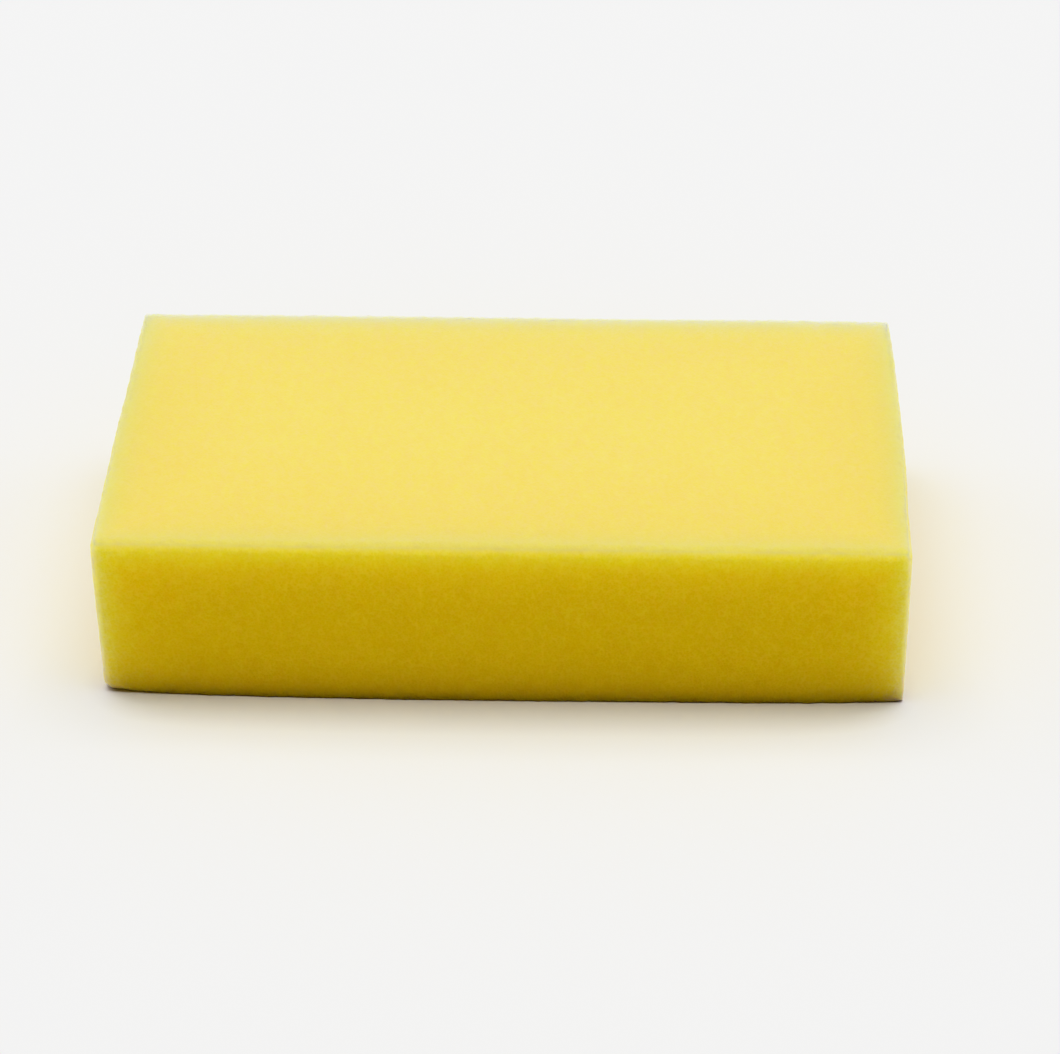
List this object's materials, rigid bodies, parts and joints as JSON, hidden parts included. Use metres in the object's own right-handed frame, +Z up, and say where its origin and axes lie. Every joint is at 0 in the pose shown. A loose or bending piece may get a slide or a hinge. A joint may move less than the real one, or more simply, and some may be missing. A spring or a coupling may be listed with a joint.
{
  "type": "foam sponge",
  "caption": "Rectangular yellow block of fine open-cell foam with softly rounded edges, held in the hand to wash, wipe, dab or spread paint and water.",
  "frame": {"origin": "centre of the bottom broad face, so the sponge stands on Z = 0", "axes": "+X along the length, +Y along the width, +Z up through the thickness"},
  "size_m": [0.2, 0.11, 0.045],
  "materials": {
    "foam": "matte"
  },
  "bodies": {
    "root": {"foam_block": "foam"}
  },
  "joints": []
}
